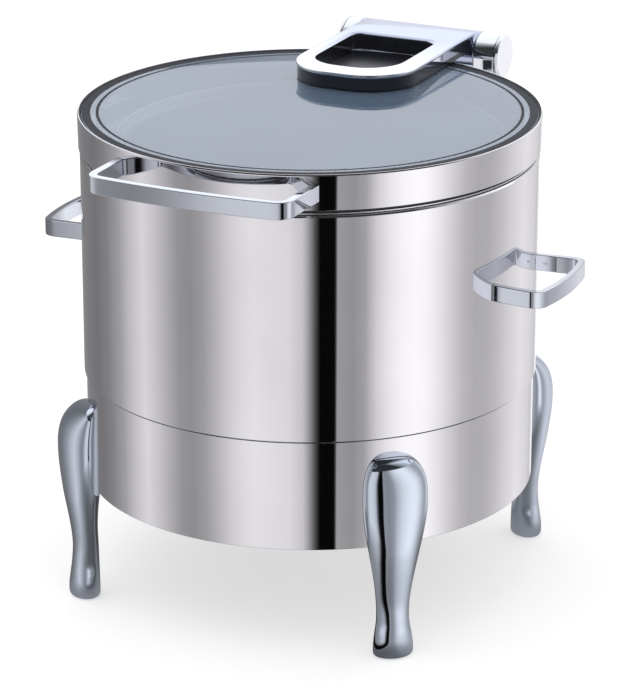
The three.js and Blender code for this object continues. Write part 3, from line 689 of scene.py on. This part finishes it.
# ---- Support ring and soup pot ----
# A flat adaptor ring lies on the pan's rim, and the straight-sided soup pot drops into it and hangs
# by its stepped, rolled rim.
adaptor_inner, adaptor_outer, adaptor_foot = 156.2, 178.5, pan_rim + sheet + gap
fitted(spun("pot_adaptor", flat_ring(adaptor_inner, adaptor_outer, adaptor_foot, adaptor_foot + sheet)),
       "chafer_body", "satin_steel", satin_sheet, "pot_support_ring")
pot_steel = metal("pot_steel", (0.74, 0.76, 0.79), 0.22, (1, 1, 30), 50, 0.05)
pot_floor, pot_side, pot_step = 212, 155.2, adaptor_foot + sheet + gap
rolled_rim = [(160, pot_step), (160, 379), (162, 381.5), (159.5, 384), (157, 381.5), (158.8, 378.5),
              (158.8, pot_step + drawn)]
pot_outline = eased([(0, pot_floor), (pot_side - 10, pot_floor), (pot_side, pot_floor + 10),
                     (pot_side, pot_step)] + rolled_rim
                    + [(pot_side - drawn, pot_step + drawn), (pot_side - drawn, pot_floor + 10.5),
                       (pot_side - 10.5, pot_floor + drawn), (0, pot_floor + drawn)], 1.4, 6)
fitted(spun("soup_insert", pot_outline), "chafer_body", "satin_steel", pot_steel, "soup_pot")

# ---- Side handles ----
# Two flat chrome straps bent to a wide U, with softened edges. Their ends are cut to the curve of
# the shell, and screwed on from inside it.


def strap(name, root, bar, half_root, half_bar, bow, corner, thickness, bottom, height, wall_radius):
    """A strap that stands out along +X: its centre line swept with a round-edged flat section.
    It runs from root to bar, which is its front, and its ends stop at a round wall."""
    start, middle = (bar - corner, -half_bar), (bar, -half_bar)
    leg_steps, corner_steps, front_steps = 10, 24, 40
    line = []
    for i in range(leg_steps):
        t = i / leg_steps
        line.append((root + (bar - corner - root) * t, -half_root + (half_root - half_bar) * t))
    line += [start] + bent(start, middle, (bar + 1, -half_bar + corner), corner_steps)
    front = [(bar + 1 + 4 * bow * t * (1 - t), (half_bar - corner) * (2 * t - 1))
             for t in [k / front_steps for k in range(1, front_steps)]]
    line = line + front + [(x, -y) for x, y in reversed(line)]
    half_t, top, edge = thickness / 2, bottom + height, 1.1
    section = eased([(half_t, bottom), (half_t, top), (-half_t, top), (-half_t, bottom)], edge, 5)
    rings = []
    for i, (x, y) in enumerate(line):
        (ax, ay), (bx, by) = line[max(i - 1, 0)], line[min(i + 1, len(line) - 1)]
        length = hypot(bx - ax, by - ay)
        nx, ny = (by - ay) / length, -(bx - ax) / length
        ring = []
        for offset, z in section:
            px, py = x + nx * offset, y + ny * offset
            at_wall = sqrt(max(wall_radius ** 2 - py * py, 0))
            ring.append((max(px, at_wall), py, z))
        rings.append(ring)
    return swept(name, rings)


# Painted reflection tone: the straps' chrome is darker and bluer than the bracket's, as the legs' is.
strap_chrome_painted_reflection = metal("strap_chrome_painted_reflection", (0.60, 0.635, 0.69), 0.06, (1, 1, 1), 55, 0.008)
strap_bolt = (4.5, 3, 2)
for word, turn in (("right", 0), ("left", pi)):
    handle = strap(word + "_strap", root=178, bar=225, half_root=44, half_bar=47, bow=3.5, corner=9,
                   thickness=6, bottom=277.5, height=14, wall_radius=shell_radius + gap)
    handle.data.transform(Matrix.Rotation(turn, 4, "Z"))
    fitted(handle, "chafer_body", "chrome_casting", strap_chrome_painted_reflection, word + "_handle")
    for end in ("front", "rear"):
        hex_screw("%s_strap_bolt_%s" % (word, end), "%s_handle_screw_%s" % (word, end),
                  Vector((cos(turn), 0, 0)), "chafer_body", strap_bolt)

# ---- Hinge bracket ----
# A chrome casting screwed to the back of the shell: a saddle plate with an ear up to each end of the
# barrel. A chamfered cover closes the outside of each ear, and a steel shaft joins them.
cast_chrome = metal("cast_chrome", (0.80, 0.82, 0.85), 0.045, (1, 1, 1), 55, 0.008)
hinge_y, hinge_z, hinge_radius = 234.6, 400.1, 19.5
barrel_left, barrel_right, ear_outer = -59, 53.5, 72.4
bracket_foot, plate_top_edge, plate_half_width = 318, 366, 60.3
hinge_front, hinge_rear = hinge_y - hinge_radius, hinge_y + hinge_radius
ear_loop = [(hinge_front, hinge_z), (hinge_front, 388)]
ear_loop += bent((hinge_front, 388), (213, 374), (196, 371), 12)
ear_loop += [(170, 368), (170, bracket_foot), (192, bracket_foot), (201, 334)]
ear_loop += bent((201, 334), (212, 360), (236, 374), 14)
ear_loop += bent((236, 374), (hinge_rear, 386), (hinge_rear, hinge_z), 14)
ear_loop += [(hinge_y + hinge_radius * cos(pi * i / 40), hinge_z + hinge_radius * sin(pi * i / 40))
             for i in range(1, 40)]


def against_wall(obj, radius):
    """Pushes points that lie inside a round wall out to its face, straight back along Y."""
    for v in obj.data.vertices:
        x, y = v.co.x * 1000, v.co.y * 1000
        if hypot(x, y) < radius and y > 0:
            v.co.y = sqrt(radius ** 2 - x * x) / 1000
    return obj


def side_on(obj, start):
    """Turns a flat pressing drawn in (y, z) so that its thickness runs along X from start."""
    obj.data.transform(Matrix(((0, 0, 1, start / 1000), (1, 0, 0, 0), (0, 1, 0, 0), (0, 0, 0, 1))))
    return obj


ears = []
for start, end in ((-ear_outer, barrel_left - gap), (barrel_right + gap, ear_outer)):
    ear = side_on(pressed("ear", [ear_loop], 0, end - start, 0.9), start)
    ears.append(against_wall(ear, shell_radius + gap))
saddle_section = eased([(178, bracket_foot), (192, bracket_foot), (196, bracket_foot + 5),
                        (196, plate_top_edge - 4), (193, plate_top_edge), (178, plate_top_edge)], 2.0)
saddle_steps = 48
saddle_rings = []
for i in range(saddle_steps + 1):
    x = -plate_half_width + 2 * plate_half_width * i / saddle_steps
    wall = sqrt((shell_radius + gap) ** 2 - x * x)
    saddle_rings.append([(x, max(y, wall), z) for y, z in saddle_section])
saddle = swept("bracket_casting", saddle_rings)
fitted(joined(saddle, *ears), "chafer_body", "chrome_casting", cast_chrome, "hinge_bracket")
bracket_bolt = (5, 3, 2.5)
for i in (1, 2):
    hex_screw("bracket_bolt_%d" % i, "bracket_screw_%d" % i, Vector((0, 1, 0)), "chafer_body",
              bracket_bolt)


def on_hinge(obj, side):
    """Lays a piece that was turned about the upright axis along the hinge's axis, its top to one side."""
    obj.data.transform(Matrix.Rotation(side * pi / 2, 4, "Y"))
    obj.location = pot_axis + Vector((0, hinge_y / 1000, hinge_z / 1000))
    return obj


for word, side in (("left", -1), ("right", 1)):
    face = ear_outer + gap
    outline = eased([(0, face), (hinge_radius, face), (hinge_radius, face + 1.4),
                     (hinge_radius - 1.6, face + 3), (0, face + 3)], 0.25)
    fitted(on_hinge(spun("ear_cover_" + word, outline, 160), side), "chafer_body", "chrome_casting",
           cast_chrome, "hinge_cap_" + word)
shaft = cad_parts["hinge_shaft"]
shaft.material_slots[0].material = screw_steel

# ---- Lid ring ----
# A spun steel band round the glass, a little wider at the top, with a lip that holds the glass and a
# seat under it. The glass lies in a silicone bed, and a seal below closes on the water pan's rim.
lip, lid_radius, lid_foot, lid_top = 189.4, 190.8, 375, 404
seat_top, seat_edge = 398.3, 176
ring_outline = eased([(188.7, lid_foot), (190.3, lid_foot), (lid_radius, lid_top - 1.4), (190.2, lid_top),
                      (lip, lid_top), (lip, seat_top), (seat_edge, seat_top),
                      (seat_edge, seat_top - sheet), (188.2, seat_top - sheet)], 0.45)
fitted(spun("lid_band", ring_outline, 288), "lid", "polished_steel", polished_sheet, "lid_ring")
glass_top, glass_bottom, glass_radius = 402.9, 399.7, 187.8
bed_inner, bed_outer, bed_foot = 181, lip - gap, seat_top + gap
bed_outline = eased([(bed_inner, bed_foot), (bed_outer, bed_foot), (bed_outer, glass_top),
                     (glass_radius + gap, glass_top), (glass_radius + gap, glass_bottom - gap),
                     (bed_inner, glass_bottom - gap)], 0.2)
fitted(spun("glass_bed", bed_outline), "lid", "black_silicone", black_silicone, "glass_gasket")
seal_foot, seal_top, seal_inner = pan_rim + sheet + gap, 379, 184
seal_outline = eased([(seal_inner, seal_foot), (186.6, seal_foot), (188.3, 376.5), (188.3, seal_top),
                      (seal_inner, seal_top)], 0.5)
fitted(spun("pan_seal", seal_outline), "lid", "black_silicone", black_silicone, "lid_seal")

# ---- Glass ----
# A disc of tempered glass with a ground edge, a little hazy and blue-grey. A wide dark band and a
# thin dark line of enamel are fired on near its edge, and hide the seat and the bed.
glass_tone = (0.13, 0.19, 0.28)
lid_glazing, tree, shader = new_finish("lid_glazing")
shader.inputs["IOR"].default_value = 2.5
shader.inputs["Roughness"].default_value = 0.03
shader.inputs["Alpha"].default_value = 0.74
place = added(tree, "TexCoord")
haze = added(tree, "TexNoise", Scale=5)
tree.links.new(place.outputs["Object"], haze.inputs["Vector"])
haze_tone = patterned(tree, haze.outputs["Fac"], 0.3, 0.7, scaled(glass_tone, 0.88),
                      scaled(glass_tone, 1.12))
tree.links.new(haze_tone, shader.inputs["Base Color"])
lid_glazing.surface_render_method = "BLENDED"
# The tint and the strong gloss are on the upper face, and the underside is nearly clear.
clear_underside = lid_glazing.copy()
clear_underside.name = "clear_underside"
clear_underside.node_tree.nodes["Principled BSDF"].inputs["Alpha"].default_value = 0.1
ground_edge = glass_radius - 0.6
glass_outline = eased([(0, glass_bottom), (ground_edge, glass_bottom), (glass_radius, glass_bottom + 0.6),
                       (glass_radius, glass_top - 0.6), (ground_edge, glass_top), (0, glass_top)], 0.3)
glass_disc = fitted(spun("glass_disc", glass_outline, 288), "lid", "lid_glass", lid_glazing, "lid_glass")
glass_disc.visible_shadow = False
glass_disc.data.materials.append(clear_underside)
for face in glass_disc.data.polygons:
    face.material_index = 1 if face.normal.z < -0.5 else 0
enamel = rubber("dark_enamel", (0.010, 0.013, 0.022), 0.5, 260)
enamel.node_tree.nodes["Principled BSDF"].inputs["Specular IOR Level"].default_value = 0.12
enamel_foot, enamel_top = glass_top + 0.01, glass_top + 0.06
for name, inner, outer in (("enamel_band", 180, glass_radius - 0.7), ("enamel_line", 173, 175.5)):
    enamel_outline = [(inner, enamel_foot), (outer, enamel_foot), (outer, enamel_top), (inner, enamel_top)]
    fitted(spun(name, enamel_outline, 288), "lid", "lid_glass", enamel)

# ---- Hinge arm ----
# A chrome casting in one piece with the barrel: a flat plate with a window, on a low wall round its
# edge, rising gently to the barrel. A black pad under it lies on the glass and floors the window.
arm_left, arm_right, arm_front, arm_corner, arm_bottom = -58.5, 49.5, 61, 44, 404.4
window_left, window_right, window_front, window_rear = -47, 30, 85.5, 189
front_top, barrel_top = 418.2, hinge_z + hinge_radius


def plate_top(y):
    """Height of the arm's upper face."""
    return front_top + (barrel_top - front_top) * (y - arm_front) / (hinge_y - arm_front)


def quarter(x, y, radius, start, steps):
    """Points on a quarter circle, anticlockwise from its start angle."""
    turns = [start + pi / 2 * i / steps for i in range(steps + 1)]
    return [(x + radius * cos(turn), y + radius * sin(turn)) for turn in turns]


def rounded_box(left, right, front, rear, front_radius, rear_radius, steps=14):
    """An anticlockwise rounded rectangle."""
    return (quarter(right - front_radius, front + front_radius, front_radius, -pi / 2, steps)
            + quarter(right - rear_radius, rear - rear_radius, rear_radius, 0, steps)
            + quarter(left + rear_radius, rear - rear_radius, rear_radius, pi / 2, steps)
            + quarter(left + front_radius, front + front_radius, front_radius, pi, steps))


arm_end, corner_y, corner_steps = hinge_y + 12, arm_front + arm_corner, 24
arm_loop = quarter(arm_right - arm_corner, corner_y, arm_corner, -pi / 2, corner_steps)
arm_loop += [(arm_right, y) for y in (140, 175, 205, arm_end)]
arm_loop += [(arm_left, y) for y in (arm_end, 205, 170, 140)]
arm_loop += quarter(arm_left + arm_corner, corner_y, arm_corner, pi, corner_steps)
window_loop = rounded_box(window_left, window_right, window_front, window_rear, 32, 9)
# How far in from the edge, and how far under the upper face, the wall runs from its top to its foot.
arm_edge = [(2.0, 0), (1.2, -0.08), (0.55, -0.35), (0.15, -0.8), (0, -1.4), (0, -2.4), (0.3, -2.9),
            (0.9, -3.1)]
window_edge = [(-3.4, 0), (-2.6, -0.12), (-1.6, -0.5), (-0.7, -1.1), (-0.2, -1.9), (0, -2.8)]


def arm_shell():
    """The plate, its outer wall and its window, as one closed mesh."""
    verts, faces, tops, feet = [], [], [], []
    for loop, edge_rows, foot_inset in ((arm_loop, arm_edge, 0.9), (window_loop, window_edge, 0)):
        rows = []
        for inset, drop in edge_rows + [(foot_inset, None)]:
            rows.append(len(verts))
            for x, y in moved_in(loop, inset):
                y = min(y, hinge_y)
                verts.append((x, y, arm_bottom if drop is None else plate_top(y) + drop))
        faces += bands(rows, len(loop))
        tops.append((rows[0], len(loop)))
        feet.append((rows[-1], len(loop)))
    return capped(mesh_from("arm_casting", verts, faces), tops, feet)


bore = 9
barrel_outline = eased([(bore, barrel_left), (hinge_radius, barrel_left), (hinge_radius, barrel_right),
                        (bore, barrel_right)], 0.7)
barrel = spun("barrel", barrel_outline, 160)
barrel.data.transform(Matrix.Translation((0, hinge_y / 1000, hinge_z / 1000))
                      @ Matrix.Rotation(pi / 2, 4, "Y"))


def worked(tree, operation, *values):
    """The result of a Math node on two values, each of them a number or another node's output."""
    maths = added(tree, "Math")
    maths.operation = operation
    for socket, value in zip(maths.inputs, values):
        if isinstance(value, (int, float)):
            socket.default_value = value
        else:
            tree.links.new(value, socket)
    return maths.outputs["Value"]


def ranged(tree, value, *ends):
    """A value spread from its lowest and highest onto 0 to 1, or onto the two further ends given."""
    spread = added(tree, "MapRange", **dict(zip(("From_Min", "From_Max", "To_Min", "To_Max"), ends)))
    tree.links.new(value, spread.inputs["Value"])
    return spread


def overlaid(tree, factor, under, over):
    """A colour laid over another one by a factor from 0 to 1."""
    mix = added(tree, "Mix")
    mix.data_type = "RGBA"
    mix.inputs["B"].default_value = over + (1,)
    tree.links.new(factor, mix.inputs["Factor"])
    tree.links.new(under, mix.inputs["A"])
    return mix.outputs["Result"]


def chrome_with_painted_reflections():
    """Chrome plate with painted reflections: it darkens to blue-grey towards the barrel, and the wall under
    it is painted near-black and not metallic.
    """
    finish = metal("arm_chrome_painted_reflections", (0.80, 0.82, 0.85), 0.05, (1, 1, 1), 55, 0.008)
    tree = finish.node_tree
    shader = tree.nodes["Principled BSDF"]
    place = added(tree, "TexCoord")
    split = added(tree, "SeparateXYZ")
    tree.links.new(place.outputs["Object"], split.inputs["Vector"])
    # The line between the chrome and the painted dark wall falls towards the barrel, from one height to
    # another, in metres.
    line = ranged(tree, split.outputs["Y"], 0.105, 0.165, 0.4150, 0.4090)
    line.interpolation_type = "SMOOTHSTEP"
    under = worked(tree, "SUBTRACT", line.outputs["Result"], split.outputs["Z"])
    # Painted dark reflection: under the line the wall is coloured near-black and loses its metal.
    dark = ranged(tree, under, -0.00005, 0.00005)
    before_barrel = worked(tree, "LESS_THAN", split.outputs["Y"], hinge_front / 1000)
    painted_dark_mask = worked(tree, "MULTIPLY", dark.outputs["Result"], before_barrel)
    # Painted reflection: the plate's colour darkens to blue-grey towards the barrel.
    painted_reflection_fade = ranged(tree, split.outputs["Y"], 0.07, 0.19)
    plate = overlaid(tree, painted_reflection_fade.outputs["Result"], tree.nodes["Color Ramp"].outputs["Color"],
                     (0.46, 0.50, 0.61))
    tree.links.new(overlaid(tree, painted_dark_mask, plate, (0.016, 0.017, 0.024)), shader.inputs["Base Color"])
    tree.links.new(worked(tree, "SUBTRACT", 1.0, painted_dark_mask), shader.inputs["Metallic"])
    return finish


arm = fitted(joined(arm_shell(), barrel), "lid", "chrome_casting", chrome_with_painted_reflections(), "hinge_arm")
# Painted dark reflection: the window's inner walls, part of the chrome casting, get a near-black glossy
# finish that is not metal.
painted_dark_window_walls = rubber("painted_dark_window_walls", (0.014, 0.015, 0.020), 0.08, 90)
arm.data.materials.append(painted_dark_window_walls)
for face in arm.data.polygons:
    x, y, z = face.center * 1000
    in_window = window_left - 1 < x < window_right + 1 and window_front - 1.5 < y < window_rear + 1
    if in_window and z < plate_top(y) - 2.3 and abs(face.normal.z) < 0.5:
        face.material_index = 1

glossy_pad = rubber("arm_pad_rubber", (0.010, 0.011, 0.016), 0.25, 500)
glossy_pad.node_tree.nodes["Principled BSDF"].inputs["Specular IOR Level"].default_value = 0.25
pad_inset, pad_foot, pad_top, pad_reach = 1.2, 403.2, 404.1, lip - 2
pad_loop = []
for x, y in rounded_box(arm_left + pad_inset, arm_right - pad_inset, arm_front + pad_inset, 190,
                        arm_corner - pad_inset, 0.01, 24):
    pad_loop.append((x, min(y, sqrt(pad_reach ** 2 - x * x))))
# Its rear edge follows the round of the lid's lip.
pad_rear = [(x, sqrt(pad_reach ** 2 - x * x)) for x in range(45, -55, -5)]
pad_split = next(i for i, (x, y) in enumerate(pad_loop) if x < 0 and y > 150)
pad_loop = pad_loop[:pad_split] + pad_rear + pad_loop[pad_split:]
fitted(pressed("arm_rubber", [pad_loop], pad_foot, pad_top, 0.25), "lid", "black_silicone", glossy_pad,
       "arm_pad")

# ---- Inside the barrel, and the clamp under the glass ----
# Nylon bushes run on the steel shaft, with the coil spring between them. A satin plate under the
# glass is pulled up to the arm by four screws.
for node in ("hinge_bush_left", "hinge_bush_right"):
    nylon = rubber(node + "_nylon", (0.80, 0.78, 0.70), 0.45, 300)
    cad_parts[node].material_slots[0].material = nylon
spring_steel = metal("spring_steel", (0.45, 0.46, 0.48), 0.25, (40, 1, 1), 80, 0.05)
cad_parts["lid_spring"].material_slots[0].material = spring_steel
clamp_loop = rounded_box(-62.5, 53.5, 98, 164, 12, 12)
clamp_foot, clamp_top = 396.4, glass_bottom - gap
fitted(pressed("clamp_sheet", [clamp_loop], clamp_foot, clamp_top, 0.6), "lid", "satin_steel",
       satin_sheet, "clamp_plate")
clamp_bolt = (4.5, 3, 2.5)
for i in (1, 2, 3, 4):
    hex_screw("clamp_bolt_%d" % i, "clamp_screw_%d" % i, Vector((0, 0, 1)), "lid", clamp_bolt)

# ---- Lid handle ----
# A long chrome strap across the front of the lid ring, bent as the side handles are and a little
# thicker. It is screwed to the ring from inside at both ends.
front_strap = strap("lid_strap", root=160, bar=222, half_root=85, half_bar=84.5, bow=4, corner=11,
                    thickness=7, bottom=382, height=14, wall_radius=lid_radius + gap)
front_strap.data.transform(Matrix.Rotation(-pi / 2, 4, "Z"))
fitted(front_strap, "lid", "chrome_casting", strap_chrome_painted_reflection, "lid_handle")
for word in ("left", "right"):
    hex_screw("lid_strap_bolt_" + word, "lid_handle_screw_" + word, Vector((0, -1, 0)), "lid",
              strap_bolt)
